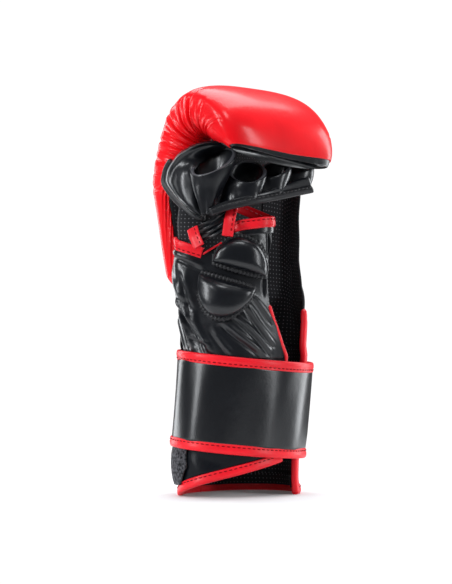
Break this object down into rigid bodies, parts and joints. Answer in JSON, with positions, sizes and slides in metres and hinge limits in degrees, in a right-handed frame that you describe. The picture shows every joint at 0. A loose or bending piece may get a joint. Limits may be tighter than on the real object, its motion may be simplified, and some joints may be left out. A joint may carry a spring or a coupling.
{
  "type": "mma glove",
  "caption": "Padded sparring glove for the left hand with curled finger padding, open palm, finger loops, thumb loop and a wrap-round wrist strap",
  "frame": {"origin": "centre of the bounding box, at the level of the cuff's lower edge", "axes": "+Z from the cuff up to the fingers, the palm faces -Y, the back of the hand +Y, the thumb side -X"},
  "size_m": [0.1088, 0.0874, 0.2792],
  "materials": {
    "red_leather": "glossy",
    "red_binding": "satin",
    "black_leather": "glossy",
    "perforated_lining": "perforated matt",
    "foam": "matt foam",
    "loop_pile": "fuzzy pile",
    "hook_tape": "matt"
  },
  "bodies": {
    "hand": {"cuff_thumb_side": "black_leather", "cuff_finger_side": "black_leather", "cuff_rim_thumb_side": "red_binding", "cuff_rim_finger_side": "red_binding", "cuff_lining": "perforated_lining", "slit_binding_near": "red_binding", "slit_binding_far": "red_binding", "loop_panel": "loop_pile", "strap_band": "black_leather", "strap_top_binding": "red_binding", "strap_bottom_binding": "red_binding", "wrist_panel": "black_leather", "little_finger_wall": "perforated_lining", "palm_heel_panel": "black_leather", "upper_palm_pad": "black_leather", "lower_palm_pad": "black_leather", "upper_pad_foam": "foam", "lower_pad_foam": "foam", "thumb_gusset": "perforated_lining", "gusset_binding": "red_binding", "hand_pad_foam": "foam", "hand_pad_cover": "red_leather", "hand_pad_lining": "perforated_lining"},
    "fingers": {"knuckle_foam": "foam", "finger_pad_foam": "foam", "finger_pad_cover": "red_leather", "finger_pad_lining": "perforated_lining", "fingertip_band": "black_leather", "index_loop": "black_leather", "middle_loop": "black_leather", "ring_loop": "black_leather", "little_loop": "black_leather", "grip_bar": "black_leather", "grip_bar_binding": "black_leather"},
    "thumb": {"thumb_loop": "black_leather", "thumb_loop_top_binding": "red_binding", "thumb_loop_bottom_binding": "red_binding", "web_strap": "black_leather", "web_tab": "red_binding"},
    "strap_tail": {"strap_tail": "black_leather", "tail_top_binding": "red_binding", "tail_bottom_binding": "red_binding", "tail_end_binding": "red_binding", "hook_patch": "hook_tape"}
  },
  "joints": [
    {"name": "knuckle_flex", "type": "hinge", "parent": "hand", "child": "fingers", "pos_m": [0, 0.0282, 0.212], "axis": [-1, 0, 0], "range_deg": [-3, 20], "stiffness_Nm_per_rad": 0.3},
    {"name": "thumb_flex", "type": "hinge", "parent": "hand", "child": "thumb", "pos_m": [-0.014, -0.026, 0.1815], "axis": [0, 1, 0], "range_deg": [-6, 6], "stiffness_Nm_per_rad": 0.02},
    {"name": "strap_peel", "type": "hinge", "parent": "hand", "child": "strap_tail", "pos_m": [0.0518, 0.0035, 0.062], "axis": [0, 0, -1], "range_deg": [0, 100]}
  ]
}
